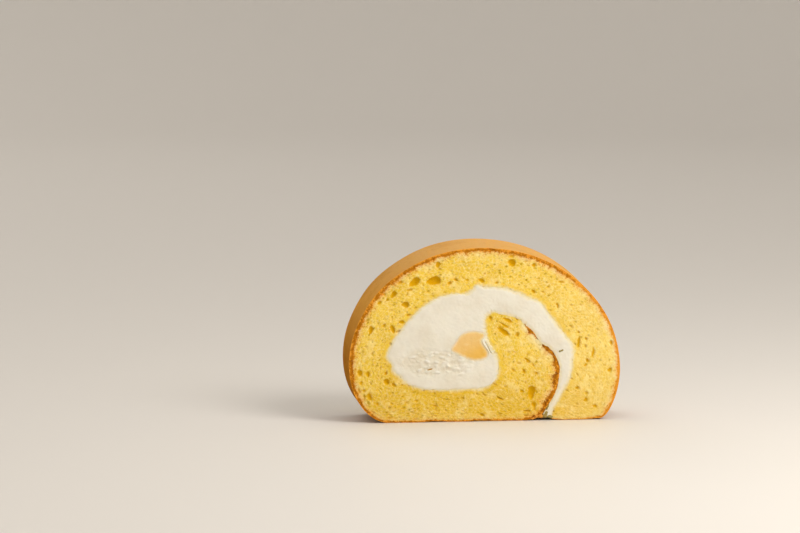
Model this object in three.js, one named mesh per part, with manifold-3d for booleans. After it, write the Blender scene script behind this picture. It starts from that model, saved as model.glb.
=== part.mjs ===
// One slice of a swiss roll cake, standing on its flat base with a cut face towards -Y.
// Millimetres, +Z up. The origin is the middle of the slice's box, at its base. Places on the cut
// face are measured from the roll's own axis, which lies a little left of that middle.
//
// The slice is a sheet of sponge rolled round whipped cream, with a core of custard. Each is a
// prism of its outline on the cut face, so the roll's layers run through the whole slice. The
// knife strayed a little: the back face is slightly taller and wider than the front one.
import * as THREE from "three";
import { mergeVertices } from "three/addons/utils/BufferGeometryUtils.js";
import Module from "manifold-3d";

const wasm = await Module();
wasm.setup();

// ---- Driving sizes ----

const THICKNESS = 22; // of the slice, front face to back face
const FLARE_WIDE = 0.007; // how much wider the back face is, as a share
const FLARE_HIGH = 0.02; // how much taller the back face is, as a share
const GAP = 0.3; // between two layers that touch
const CUTTER_REACH = 1; // how far a cutting prism runs past each face

// The rolled loaf's section: four rounded quarters on a flat base, which lifts a little towards
// the foot on the right.
const LOAF = {
  leftWidth: 49.75, // from the roll's axis to the widest place on the left
  rightWidth: 50.35,
  height: 64,
  crestX: -1.2, // where the top is highest
  leftBulgeZ: 21.5, // height of the widest place on the left
  rightBulgeZ: 19, // and on the right
  baseLeft: -35,
  flatRight: 37, // where the flat base ends on the right
  baseRight: 43,
  footLift: 0.5, // of the right foot above the base
  footSwell: 0.45, // how full the right foot's corner is: 0 is a straight cut, 0.55 an ellipse
};
const MIDDLE_X = ((LOAF.rightWidth - LOAF.leftWidth) / 2) * (1 + FLARE_WIDE);
const ARC_STEPS = 16; // straight facets in a quarter of the loaf's outline
const SHORTEST_STEP = 1e-3; // points nearer than this are one point

// The space between the turns of the sheet, which the cream fills: up the inside of the outer
// turn from the seam, over the top, back along the base and up to the torn tip of the curl.
const SEAM_FOOT_Z = 1.5; // how far the cream stops short of the base at the seam
const SHEET_INSIDE = [
  [24.9, 1.5], [25.8, 4.8], [27.3, 7.3], [29, 10.5], [31.9, 15.8], [32.7, 22], [32.7, 27.6],
  [30.1, 31.3], [27, 35.2], [23.6, 40], [20.4, 43.9], [15.8, 45.9], [11.3, 47.9], [5.5, 49.4],
  [-0.5, 49.9], [-2.9, 50.5], [-4.4, 49], [-6.2, 47.5], [-12.8, 47.2], [-18.2, 45.5], [-21.8, 43.3],
  [-25.5, 40.3], [-30.3, 34.9], [-33.5, 30.5], [-36.1, 24.6], [-34.3, 21.5], [-33.9, 19.3],
  [-31.5, 17.2], [-29.3, 15], [-25.7, 13.1], [-20, 12], [-6, 12], [-0.4, 12.5], [2.8, 14],
  [4.8, 17.1], [5.3, 20.5], [4.5, 24], [1.1, 30.7], [0.2, 36.3], [0.5, 38.5], [1.8, 39.8],
  [3.2, 40.6],
];
const TORN_TIP = [[4, 40.2], [5.3, 39.6], [7.6, 39.3], [10, 38.7], [12.4, 37.9], [14.1, 36.6]];
// The browned side of the curl, from the tip down to the seam at the base.
const CURL_SKIN = [
  [14.7, 35.8], [17.8, 33.1], [19.5, 30.6], [21.1, 28.6], [23.2, 27.5], [25.6, 25.6], [27.2, 22.8],
  [28, 19.8], [27.6, 15.5], [27.2, 11.6], [25.7, 8.1], [23.7, 4.8], [21.4, 1.5],
];
// The core of custard, which the knife has dented on the right.
const CUSTARD = [
  [-12.2, 26.8], [-9.6, 24.9], [-5.2, 22.9], [-2.4, 22.6], [-0.4, 23], [1.1, 24.1], [1.4, 25.5],
  [0.4, 27.2], [-0.7, 28.7], [-1.1, 30], [-0.2, 31.2], [0, 32.4], [-1.8, 33.2], [-5.8, 33.4],
  [-8.8, 32], [-10.9, 29.2],
];
const STEPS_PER_POINT = 3; // straight facets between two points of a curve

// Air bubbles that the knife opened in the front face: [x, z, length, width, and the direction of
// the length in degrees from the +x side].
const BUBBLES = [
  [-25.9, 51.7, 4.8, 2.7, 33], [-18.8, 52, 5.3, 3.2, 12], [-33.4, 47.3, 3, 2, 45],
  [-35.7, 45.3, 1.6, 1.1, 60], [-29.4, 43.7, 2.7, 2.3, 0], [-38.7, 44.4, 2, 1.3, 20],
  [-17.4, 57.9, 2.6, 1.7, 80], [-30.6, 37.1, 2.2, 1.4, 10], [-33.7, 34.5, 3.2, 1.7, 110],
  [-42, 34.4, 3.4, 1.7, 70], [-46, 18.4, 2.4, 1.7, 95], [-43.1, 18, 2.4, 1.6, 110],
  [-45.2, 14.7, 1.6, 1.1, 100], [-44.2, 12.1, 1.5, 1.1, 120], [-42.5, 9.6, 2.7, 1.7, 115],
  [-39.5, 6.9, 1.4, 1, 120], [-36, 15.1, 2.2, 2.1, 70], [9.9, 58.4, 3.3, 2.5, -15],
  [18, 57.5, 1.8, 1.7, 0], [26.8, 42.5, 2.4, 1.3, 100], [34.8, 29, 4.6, 1.4, 262],
  [40.2, 24.9, 4.2, 1.1, 90], [37.3, 20.3, 2, 1.1, 30], [46.7, 18.1, 1.9, 1.6, 60],
  [17.5, 10.4, 5.2, 2.7, 85], [18.4, 5.9, 2.1, 1.9, 0], [15.7, 22.3, 2.8, 1.4, -35],
  [12.9, 21.4, 1.7, 0.9, -35], [19.3, 17.4, 1.4, 1.1, 0], [13.8, 11.1, 1.6, 1.3, 0],
  [37.5, 7.5, 2, 1.3, 30], [41.1, 5.1, 2.2, 1.4, -10], [-6.5, 52.3, 1.6, 1, -20],
  [-1.2, 52, 2.8, 1.3, -22],
];
// Gashes torn into the curl's tip, in the same form.
const GASHES = [[8.3, 37.5, 3.7, 1.3, -24], [7.2, 35.6, 4.6, 1, -29], [6.9, 33.1, 5.4, 1.9, -32]];
const PIT_DEPTH = 0.45; // of a bubble or gash, as a share of its width
const BACK_BUBBLES = 22; // scattered over the back face
const BACK_BUBBLE_SIZE = [1.4, 3.2]; // shortest and longest
const BACK_BUBBLE_COVER = [3.5, 9]; // nearest and farthest from the browned outside
const BUBBLE_SEED = 7;

// ---- Materials ----

const SPONGE_YELLOW = 0xedc45c;
const CREAM_WHITE = 0xeee0c6;
const CUSTARD_ORANGE = 0xefbe6b;

// ---- Curves on the cut face: x to the right, y up ----

function curveThrough(points, closed = false) {
  const spots = points.map(([x, z]) => new THREE.Vector3(x, z, 0));
  const curve = new THREE.CatmullRomCurve3(spots, closed, "centripetal");
  const stretches = closed ? points.length : points.length - 1;
  const path = [];
  for (let i = 0; i <= stretches * STEPS_PER_POINT; i++) {
    const p = curve.getPoint(i / (stretches * STEPS_PER_POINT));
    path.push(new THREE.Vector2(p.x, p.y));
  }
  if (closed) path.pop();
  return path;
}

function loafOutline() {
  const { leftWidth, rightWidth, height, crestX, leftBulgeZ, rightBulgeZ } = LOAF;
  const { baseLeft, flatRight, baseRight, footLift, footSwell } = LOAF;
  const quarter = Math.PI / 2;
  const shape = new THREE.Shape();
  shape.moveTo(baseRight, footLift);
  shape.bezierCurveTo(
    baseRight + footSwell * (rightWidth - baseRight), footLift,
    rightWidth, rightBulgeZ - footSwell * (rightBulgeZ - footLift),
    rightWidth, rightBulgeZ,
  );
  shape.absellipse(crestX, rightBulgeZ, rightWidth - crestX, height - rightBulgeZ, 0, quarter);
  shape.absellipse(crestX, leftBulgeZ, leftWidth + crestX, height - leftBulgeZ, quarter, 2 * quarter);
  shape.absellipse(baseLeft, leftBulgeZ, leftWidth + baseLeft, leftBulgeZ, 2 * quarter, 3 * quarter);
  shape.lineTo(flatRight, 0);
  shape.closePath();
  const path = shape.getPoints(ARC_STEPS);
  return path.filter((p, i) => p.distanceTo(path[(i + 1) % path.length]) > SHORTEST_STEP);
}

// The outline of the space for the cream, its tail cut off or carried on to the height footZ.
function creamSpace(footZ) {
  const tip = TORN_TIP.map(([x, z]) => new THREE.Vector2(x, z));
  const walls = [...curveThrough(SHEET_INSIDE), ...tip, ...curveThrough(CURL_SKIN)];
  const ends = footZ < SEAM_FOOT_Z ? [walls.at(-1), walls[0]] : [];
  return [...walls, ...ends.map((p) => new THREE.Vector2(p.x, footZ))];
}

// A closed outline, anticlockwise, moved inwards by a distance (outwards if that is negative).
// Each corner goes to where its two moved sides meet, or a little less far if it is very sharp.
function inset(path, distance) {
  const sharpest = 0.4;
  const inward = (from, to) => new THREE.Vector2(from.y - to.y, to.x - from.x).normalize();
  return path.map((p, i) => {
    const before = inward(path.at(i - 1), p);
    const after = inward(p, path[(i + 1) % path.length]);
    const reach = distance / Math.max(sharpest, 1 + before.dot(after));
    return p.clone().addScaledVector(before, reach).addScaledVector(after, reach);
  });
}

// ---- Solids ----

// A prism of an outline from the front face to the back, flared as the slice is.
function prism(path, holes = [], reach = 0) {
  const shape = new THREE.Shape(path);
  shape.holes = holes.map((hole) => new THREE.Path(hole));
  const depth = THICKNESS + 2 * reach;
  const geometry = new THREE.ExtrudeGeometry(shape, { depth, bevelEnabled: false });
  geometry.rotateX(Math.PI / 2);
  geometry.translate(0, depth / 2, 0);
  const spots = geometry.getAttribute("position");
  for (let i = 0; i < spots.count; i++) {
    const back = spots.getY(i) / THICKNESS + 0.5;
    spots.setX(i, spots.getX(i) * (1 + FLARE_WIDE * back) - MIDDLE_X);
    spots.setZ(i, spots.getZ(i) * (1 + FLARE_HIGH * back));
  }
  return geometry;
}

// A pit's cutter: an ellipsoid centred on the face at the given y.
function pit([x, z, length, width, tilt], y) {
  const depth = 2 * PIT_DEPTH * width;
  const ball = new THREE.IcosahedronGeometry(0.5, 1);
  ball.scale(length, depth, width);
  ball.rotateY(THREE.MathUtils.degToRad(-tilt));
  ball.translate(x - MIDDLE_X, y, z);
  return ball;
}

function seededRandom(seed) {
  let state = seed;
  return (low, high) => {
    state = (state * 16807) % 2147483647;
    return low + ((high - low) * state) / 2147483647;
  };
}

// Bubbles of the back face: each under a random place of the loaf's rounded outline.
function backBubbles(outline) {
  const random = seededRandom(BUBBLE_SEED);
  const arch = outline.filter((p) => p.y > LOAF.rightBulgeZ / 2);
  return Array.from({ length: BACK_BUBBLES }, (_, i) => {
    const step = (arch.length - 3) / BACK_BUBBLES;
    const at = 1 + Math.floor(step * (i + random(0, 1)));
    const along = arch[at + 1].clone().sub(arch[at - 1]).normalize();
    const cover = random(...BACK_BUBBLE_COVER);
    const x = arch[at].x - along.y * cover;
    const z = arch[at].y + along.x * cover;
    const length = random(...BACK_BUBBLE_SIZE);
    return [x, z, length, length * random(0.6, 1), random(60, 120)];
  });
}

function solid(geometry) {
  const bare = geometry.clone();
  bare.deleteAttribute("normal");
  bare.deleteAttribute("uv");
  const merged = mergeVertices(bare, SHORTEST_STEP);
  const vertProperties = merged.getAttribute("position").array;
  const triVerts = new Uint32Array(merged.index.array);
  return new wasm.Manifold(new wasm.Mesh({ numProp: 3, vertProperties, triVerts }));
}

function geometryOf(made) {
  const { vertProperties, triVerts } = made.getMesh();
  const geometry = new THREE.BufferGeometry();
  geometry.setAttribute("position", new THREE.BufferAttribute(vertProperties, 3));
  geometry.setIndex(new THREE.BufferAttribute(triVerts, 1));
  geometry.computeVertexNormals();
  return geometry;
}

// ---- The slice's pieces ----

function spongeGeometry() {
  const outline = loafOutline();
  const belowBase = -CUTTER_REACH;
  const turns = solid(prism(outline)).subtract(solid(prism(creamSpace(belowBase), [], CUTTER_REACH)));
  const front = [...BUBBLES, ...GASHES].map((bubble) => pit(bubble, -THICKNESS / 2));
  const back = backBubbles(outline).map((bubble) => pit(bubble, THICKNESS / 2));
  const pits = [...front, ...back].map(solid).reduce((a, b) => a.add(b));
  return geometryOf(turns.subtract(pits));
}

function creamGeometry() {
  const outside = inset(creamSpace(SEAM_FOOT_Z), GAP);
  const core = inset(curveThrough(CUSTARD, true), -GAP);
  return prism(outside, [core]);
}

function custardGeometry() {
  return prism(curveThrough(CUSTARD, true));
}

function piece(name, geometry, color, roughness) {
  const material = new THREE.MeshStandardMaterial({ color, roughness, metalness: 0 });
  const mesh = new THREE.Mesh(geometry, material);
  mesh.name = name;
  return mesh;
}

const slice = new THREE.Group();
slice.add(piece("sponge", spongeGeometry(), SPONGE_YELLOW, 0.9));
slice.add(piece("cream", creamGeometry(), CREAM_WHITE, 0.6));
slice.add(piece("custard", custardGeometry(), CUSTARD_ORANGE, 0.5));

export default slice;
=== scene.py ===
"""One slice of swiss roll: a browned sheet of sponge rolled round whipped cream and a core of custard.

Places and sizes on the cut face are in millimetres, x to the right of the roll's axis and z up from
the base, and MM turns them into the scene's metres. The front cut face looks along -Y.
"""

import math

import bpy
import numpy as np
from mathutils import Color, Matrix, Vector


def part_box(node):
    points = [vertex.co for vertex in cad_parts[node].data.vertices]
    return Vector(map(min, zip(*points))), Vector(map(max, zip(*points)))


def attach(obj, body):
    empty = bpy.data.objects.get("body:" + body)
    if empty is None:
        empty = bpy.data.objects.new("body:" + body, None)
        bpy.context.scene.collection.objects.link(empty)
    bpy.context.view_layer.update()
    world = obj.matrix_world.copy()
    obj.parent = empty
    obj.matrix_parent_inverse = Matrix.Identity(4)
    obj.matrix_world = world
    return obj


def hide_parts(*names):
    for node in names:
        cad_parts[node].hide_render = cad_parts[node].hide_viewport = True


bl_info = {
    "name": "Swiss Roll Slice",
    "version": (1, 0, 0),
    "blender": (4, 5, 0),
    "location": "View3D > Sidebar > Cake",
    "description": "Builds a slice of swiss roll cake and a plain stage for it",
    "category": "Add Mesh",
}

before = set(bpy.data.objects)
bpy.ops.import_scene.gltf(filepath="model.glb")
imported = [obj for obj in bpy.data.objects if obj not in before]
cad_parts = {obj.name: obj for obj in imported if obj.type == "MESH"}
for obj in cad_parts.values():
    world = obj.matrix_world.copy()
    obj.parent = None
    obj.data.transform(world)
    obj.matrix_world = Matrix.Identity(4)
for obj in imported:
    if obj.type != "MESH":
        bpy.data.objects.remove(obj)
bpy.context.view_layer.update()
SPONGE_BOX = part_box("sponge")
MM = 0.001

# ---- The slice's section, as the solids have it ----

THICKNESS = (SPONGE_BOX[1].y - SPONGE_BOX[0].y) / MM
FLARE_WIDE = 0.007
FLARE_HIGH = 0.02
LEFT_WIDTH = 49.75
RIGHT_WIDTH = 50.35
MIDDLE_X = (RIGHT_WIDTH - LEFT_WIDTH) / 2 * (1 + FLARE_WIDE)
HEIGHT = 64
CREST_X = -1.2
LEFT_BULGE_Z = 21.5
RIGHT_BULGE_Z = 19
BASE_LEFT = -35
FLAT_RIGHT = 37
BASE_RIGHT = 43
FOOT_LIFT = 0.5
FOOT_SWELL = 0.45
SEAM_LEFT = (20.9, 0)
SEAM_RIGHT = (24.9, 0)
SHEET_INSIDE = [
    (24.9, 1.5), (25.8, 4.8), (27.3, 7.3), (29, 10.5), (31.9, 15.8), (32.7, 22), (32.7, 27.6),
    (30.1, 31.3), (27, 35.2), (23.6, 40), (20.4, 43.9), (15.8, 45.9), (11.3, 47.9), (5.5, 49.4),
    (-0.5, 49.9), (-2.9, 50.5), (-4.4, 49), (-6.2, 47.5), (-12.8, 47.2), (-18.2, 45.5), (-21.8, 43.3),
    (-25.5, 40.3), (-30.3, 34.9), (-33.5, 30.5), (-36.1, 24.6), (-34.3, 21.5), (-33.9, 19.3),
    (-31.5, 17.2), (-29.3, 15), (-25.7, 13.1), (-20, 12), (-6, 12), (-0.4, 12.5), (2.8, 14),
    (4.8, 17.1), (5.3, 20.5), (4.5, 24), (1.1, 30.7), (0.2, 36.3), (0.5, 38.5), (1.8, 39.8),
    (3.2, 40.6),
]
TORN_TIP = [(4, 40.2), (5.3, 39.6), (7.6, 39.3), (10, 38.7), (12.4, 37.9), (14.1, 36.6)]
# The browned side of the curl, up to half a millimetre further in than in the solids.
CURL_SKIN = [
    (14.7, 35.8), (17.8, 33.1), (19.5, 30.6), (21.1, 28.6), (23.2, 27.4), (25.3, 25.5), (26.9, 22.7),
    (27.8, 19.8), (27.5, 15.5), (26.8, 11.6), (25.3, 8.1), (23.2, 4.8), (21.4, 1.5),
]
CUSTARD = [
    (-12.2, 26.8), (-9.6, 24.9), (-5.2, 22.9), (-2.4, 22.6), (-0.4, 23), (1.1, 24.1), (1.4, 25.5),
    (0.4, 27.2), (-0.7, 28.7), (-1.1, 30), (-0.2, 31.2), (0, 32.4), (-1.8, 33.2), (-5.8, 33.4),
    (-8.8, 32), (-10.9, 29.2),
]
# Cross-lines of the sheet of sponge: a place on its browned side and the one across from it.
SHEET_RIBS = [
    [(24.9, 0), (24.9, 1.5)], [(36, 0), (27.5, 9)], [(46.5, 4.2), (31, 15.2)],
    [(50.35, 19), (32.2, 20.5)], [(49.2, 29), (32.2, 27.5)], [(44, 40.5), (27.8, 35.8)],
    [(31.5, 54), (20.4, 43.9)], [(12.9, 63), (8.5, 48.8)], [(-1.2, 64), (-1.5, 50.2)],
    [(-18.8, 61.5), (-11, 47.2)], [(-34.9, 51.5), (-22, 43.5)], [(-45, 39), (-29.5, 36)],
    [(-49.75, 22.5), (-36.1, 24.6)], [(-45, 6.3), (-33.6, 18.7)], [(-35, 0), (-27.5, 14.2)],
    [(-20.8, 0), (-20.8, 12.6)], [(-8.3, 0), (-8.3, 12.4)], [(6, 0), (-0.6, 13.1)],
    [(20.9, 0), (2.8, 15)], [(25.7, 8.8), (4.3, 17.2)], [(27.6, 18), (4.9, 21.5)],
    [(25.8, 24.5), (2.6, 28.3)], [(21.3, 28.8), (0.2, 36.3)], [(17.5, 32.8), (3, 40.9)],
    [(14.4, 35.5), (13.9, 36.4)],
]
# The same for the cream: a place on the outer turn and the one across from it on the curl.
CREAM_RIBS = [
    [(24.9, 1.5), (21.2, 1.5)], [(26.8, 7.5), (24.8, 7.2)], [(28.6, 10.8), (26.8, 11)],
    [(31.9, 18), (27.6, 18)], [(32.3, 26), (26.4, 23.4)], [(29.3, 33.8), (22.8, 27.8)],
    [(23.7, 40.1), (16.8, 33.4)], [(19.3, 44.6), (13.9, 36.4)], [(11.3, 48), (10, 38.7)],
    [(-0.5, 50), (3, 40.9)], [(-5.6, 47.7), (1.3, 40.1)], [(-16.6, 46.5), (0.2, 38.2)],
    [(-27.9, 37.6), (0.4, 35.2)], [(-36.1, 24.6), (1.5, 30.8)], [(-31.4, 17.2), (2.6, 28.2)],
    [(-20.8, 12.6), (4.4, 24)], [(-8.3, 12.4), (4.9, 20.5)], [(-0.6, 13.1), (4.3, 17.2)],
    [(1.3, 13.9), (3.3, 15.6)], [(2.1, 14.4), (2.6, 14.8)],
]

# How deep the brown reaches into the crumb, and how dark it is, at places on the browned side: x, z,
# depth, darkness. The darkness is 0 for orange, 1 for deep brown and more for burnt.
CRUST_LINE = [
    (24.9, 0, 0.3, 0.6), (37, 0, 0.4, 0.5), (45, 2, 0.9, 0.35), (50, 14, 1.1, 0.2),
    (49.5, 26.5, 0.9, 0.15), (48, 32, 1, 0.15), (42, 43.5, 1.2, 0.25), (31.5, 54, 1.4, 0.4),
    (12.9, 63, 1.4, 0.6), (-1.2, 64, 1.2, 0.55), (-18.8, 61.5, 1.3, 0.6), (-34.9, 51.5, 1.5, 0.65),
    (-45, 39, 1.5, 0.65), (-49.75, 22.5, 1.6, 0.75), (-45, 6.3, 1.1, 0.7), (-35, 0, 0.7, 0.6),
    (-8.3, 0, 0.5, 0.7), (12, 0, 0.8, 0.7), (17, 0, 1.4, 0.9), (20, 0, 2, 1), (22.2, 3, 1.9, 1.1),
    (25.2, 8.6, 1.7, 1), (26.8, 12, 1.8, 0.9), (27.4, 15.5, 1.8, 1.1), (27.7, 19.6, 2, 1.1),
    (26.6, 22.6, 1.4, 1), (25.4, 24.7, 1.1, 1), (24.4, 26.2, 1.1, 1), (23.4, 27.2, 1.5, 0.9),
    (22.4, 28, 1.5, 0.9), (21.9, 28.3, 1.2, 1), (21.6, 28.6, 0.02, 1), (20.3, 30, 0.02, 1.6),
    (20, 30.3, 0.25, 1.6), (19.1, 31.2, 0.5, 1.6), (18.3, 32, 0.9, 1.5), (17.6, 32.7, 1.3, 1.4),
    (16.8, 33.4, 1.2, 1.1), (16, 34.1, 0.8, 0.8), (15.2, 34.8, 0.4, 0.6), (14.5, 35.4, 0.05, 0.5),
]
# How far the slice's underside stands off the floor at the front: x, height. The skin has folded
# into a small step, and its corners at the seam are rounded.
UNDERSIDE = [
    (-33, 0.05), (-25, 0), (-19, 0.4), (-11, 0.05), (-4.4, 0.1), (-4, 0.4), (6, 0.15), (14, 0.1),
    (17, 0.35), (19.5, 1), (23, 1), (25.1, 0.45), (28, 0.1), (36, 0),
]
UNDERSIDE_REACH = 6
SIDE_STEPS = 12  # points on a curve from each listed place to the next

# ---- Air bubbles opened by the knife: x, z, width, height, and where the wider end points, in
# degrees from the +x side ----

BUBBLES = [
    (-25.9, 51.7, 4.8, 2.7, 33), (-18.8, 52, 5.3, 3.2, 12), (-33.4, 47.3, 3, 2, 45),
    (-35.7, 45.3, 1.6, 1.1, 60), (-29.4, 43.7, 2.7, 2.3, 0), (-38.7, 44.4, 2, 1.3, 20),
    (-17.4, 57.9, 2.6, 1.7, 80), (-30.6, 37.1, 2.2, 1.4, 10), (-33.7, 34.5, 3.2, 1.7, 110),
    (-42, 34.4, 3.4, 1.7, 70), (-46, 25.8, 1, 0.9, 0), (-46, 18.4, 2.4, 1.7, 95),
    (-43.1, 18, 2.4, 1.6, 110), (-45.2, 14.7, 1.6, 1.1, 100), (-44.2, 12.1, 1.5, 1.1, 120),
    (-42.5, 9.6, 2.7, 1.7, 115), (-39.5, 6.9, 1.4, 1, 120), (-36, 15.1, 2.2, 2.1, 70),
    (9.9, 58.4, 3.3, 2.5, -15), (18, 57.5, 1.8, 1.7, 0), (26.8, 42.5, 2.4, 1.3, 100),
    (34.8, 29, 4.6, 1.4, 262), (40.2, 24.9, 4.2, 1.1, 90), (37.3, 20.3, 2, 1.1, 30),
    (46.7, 18.1, 1.9, 1.6, 60), (17.5, 10.4, 5.2, 2.7, 85), (18.4, 5.9, 2.1, 1.9, 0),
    (15.7, 22.3, 2.8, 1.4, -35), (12.9, 21.4, 1.7, 0.9, -35), (19.3, 17.4, 1.4, 1.1, 0),
    (13.8, 11.1, 1.6, 1.3, 0), (37.5, 7.5, 2, 1.3, 30), (41.1, 5.1, 2.2, 1.4, -10),
    (-6.5, 52.3, 1.6, 1, -20), (-1.2, 52, 2.8, 1.3, -22),
]
GASHES = [
    (8.3, 37.5, 3.7, 1.3, -24), (7.2, 35.6, 4.6, 1, -29), (6.9, 33.1, 5.4, 1.9, -32),
    (5.9, 34.6, 2.2, 0.8, -15),
]
# A thin crack in the cream right of the custard, and the two ridges of cream that the knife left
# on either side of it.
CRACK = [(0, 29.9), (0.4, 29), (1.1, 27.8), (2, 25.9), (2.6, 25.2), (3.3, 24.5)]
CRACK_HALF = 0.21
CRACK_DEPTH = 0.85
RIDGES = [
    [(-1.1, 30.2), (-0.7, 29.3), (0.1, 28), (1, 26.4), (1.7, 25.2)],
    [(0.9, 30.2), (1.4, 29), (2.3, 27.6), (3.2, 26.4)],
]
RIDGE_HEIGHT = 0.26
RIDGE_HALF = 0.4
CUTTER_REACH = 1  # how far the blocks that are cut out of the cream pass its faces
# Where two layers meet at a cut face, the crumb reaches under the cream's edge, and the cream's edge
# wavers over the crumb, less so over the browned skin, while its rim sinks.
CRUMB_REACH = 0.1
EDGE_WAVER = 0.3
EDGE_WAVER_SKIN = 0.1
RIM_SINK = 0.2
LAYER_GAP = 0.05  # between cream and crumb inside the slice
# Crumbs stuck to the front face: x, z, how far in front of it, width, height, tilt in degrees,
# and 0 for olive or 1 for brown.
CRUMBS = [
    (27.9, 25.6, 0.12, 0.9, 0.7, 5, 0), (28.7, 25.9, 0.12, 1.1, 0.7, 20, 0.05),
    (22.6, 1.7, -0.3, 2.4, 1.6, 15, 0.15), (24.3, 1.4, -0.2, 2.4, 1.2, -12, 0.05),
    (23, 2.6, -0.2, 2, 1.2, 60, 0.1), (23.5, 4.9, -0.2, 0.7, 2.6, -25, 0.1),
    (20.9, 1.6, -0.3, 2, 1.4, -20, 0.9), (19.2, 1.5, -0.2, 1.2, 1.7, -30, 1),
    (18.1, 0.8, -0.2, 1.4, 0.8, 15, 1), (-20.2, 19.6, 0.1, 2, 0.45, 15, 0.35),
]

# ---- Curves on the cut face ----


def smooth_path(points, steps, closed=False):
    """A curve through the points: a cubic between each two, whose slopes come from the points on
    either side, weighted by the square roots of the distances between them."""
    p = np.asarray(points, float)
    if closed:
        p = np.vstack([p[-1:], p, p[:2]])
    else:
        p = np.vstack([2 * p[:1] - p[1:2], p, 2 * p[-1:] - p[-2:-1]])
    gaps = np.sqrt(np.linalg.norm(np.diff(p, axis=0), axis=1))[:, None]
    before, start, end, after = p[:-3], p[1:-2], p[2:-1], p[3:]
    g0, g1, g2 = gaps[:-2], gaps[1:-1], gaps[2:]
    slope_start = ((start - before) / g0 - (end - before) / (g0 + g1) + (end - start) / g1) * g1
    slope_end = ((end - start) / g1 - (after - start) / (g1 + g2) + (after - end) / g2) * g1
    u = np.linspace(0, 1, steps, endpoint=False)[:, None, None]
    curve = (2 * u**3 - 3 * u**2 + 1) * start + (3 * u**2 - 2 * u**3) * end
    curve = curve + (u**3 - 2 * u**2 + u) * slope_start + (u**3 - u**2) * slope_end
    path = curve.transpose(1, 0, 2).reshape(-1, 2)
    return path if closed else np.vstack([path, p[-2:-1]])


def ellipse_arc(x, z, half_wide, half_high, start, end, steps=60):
    """Points on an ellipse about (x, z), between two angles in degrees from the +x side."""
    a = np.radians(np.linspace(start, end, steps))
    return np.stack([x + half_wide * np.cos(a), z + half_high * np.sin(a)], axis=1)


def skin_path():
    """The browned side of the sheet: from its outer end at the seam, round the loaf's four rounded
    quarters and its base back to the seam, and on up the curl."""
    right = ellipse_arc(CREST_X, RIGHT_BULGE_Z, RIGHT_WIDTH - CREST_X, HEIGHT - RIGHT_BULGE_Z, 0, 90, 160)
    left = ellipse_arc(CREST_X, LEFT_BULGE_Z, LEFT_WIDTH + CREST_X, HEIGHT - LEFT_BULGE_Z, 90, 180, 160)
    heel = ellipse_arc(BASE_LEFT, LEFT_BULGE_Z, LEFT_WIDTH + BASE_LEFT, LEFT_BULGE_Z, 180, 270)
    flap = np.linspace(SEAM_RIGHT, (FLAT_RIGHT, 0), 40)
    base = np.linspace((BASE_LEFT, 0), SEAM_LEFT, 80)
    curl = smooth_path(CURL_SKIN, SIDE_STEPS)[::-1]
    return tidy(np.vstack([flap, smooth_foot(), right, left, heel, base, curl]))


def smooth_foot():
    """The right foot's corner: a cubic that leaves the base level and arrives upright."""
    p = np.array([
        (BASE_RIGHT, FOOT_LIFT),
        (BASE_RIGHT + FOOT_SWELL * (RIGHT_WIDTH - BASE_RIGHT), FOOT_LIFT),
        (RIGHT_WIDTH, RIGHT_BULGE_Z - FOOT_SWELL * (RIGHT_BULGE_Z - FOOT_LIFT)),
        (RIGHT_WIDTH, RIGHT_BULGE_Z),
    ])
    u = np.linspace(0, 1, 40)[:, None]
    return (1 - u)**3 * p[0] + 3 * u * (1 - u)**2 * p[1] + 3 * u**2 * (1 - u) * p[2] + u**3 * p[3]


def tidy(path):
    """The path without points that repeat the one before."""
    steps = np.linalg.norm(np.diff(path, axis=0), axis=1)
    return path[np.concatenate([[True], steps > 1e-4])]


def lengths(path):
    """The length of a path up to each of its points."""
    steps = np.linalg.norm(np.diff(path, axis=0), axis=1)
    return np.concatenate([[0], np.cumsum(steps)])


def at_length(path, reached):
    """The places that lie the given lengths along a path."""
    run = lengths(path)
    return np.stack([np.interp(reached, run, side) for side in path.T], axis=-1)


def outward(path):
    """The unit normal at each point of a path, to the right of its direction."""
    slope = np.gradient(path, axis=0)
    slope /= np.linalg.norm(slope, axis=1)[:, None]
    return np.stack([slope[:, 1], -slope[:, 0]], axis=1)


def nearest(path, place):
    """Which point of a path is nearest to a place."""
    return np.linalg.norm(path - np.asarray(place), axis=1).argmin()


def ribbon(side_a, side_b, ribs, count):
    """Two sides of a band, sampled at the same count of cross-lines. The lengths along both sides
    are paired at the ribs and run evenly between them, and the cross-lines are spaced evenly by the
    mean of the two lengths, which is given too."""
    run_a, run_b = lengths(side_a), lengths(side_b)
    rib_a = [run_a[nearest(side_a, rib[0])] for rib in ribs]
    rib_b = [run_b[nearest(side_b, rib[1])] for rib in ribs]
    if np.any(np.diff(rib_a) <= 0) or np.any(np.diff(rib_b) <= 0):
        raise ValueError("the ribs of a band must follow each other along both of its sides")
    mean = (np.array(rib_a) + np.array(rib_b)) / 2
    spots = np.linspace(mean[0], mean[-1], count)
    reach_a, reach_b = np.interp(spots, mean, rib_a), np.interp(spots, mean, rib_b)
    return at_length(side_a, reach_a), at_length(side_b, reach_b), spots - mean[0]


# ---- Noise and pits ----

TABLE = 256  # rows and columns of a table of random numbers, after which it repeats


def waver(run, wavelength, seed, octaves=3):
    """A smooth random line between about -1 and 1: sines of falling length and height."""
    rng = np.random.default_rng(seed)
    total = np.zeros_like(run)
    for octave in range(octaves):
        for _ in range(3):
            turn = 2 * np.pi / (wavelength * rng.uniform(0.7, 1.4) / 2**octave)
            total += np.sin(run * turn + rng.uniform(0, 2 * np.pi)) / 3 / 1.6**octave
    return total


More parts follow.
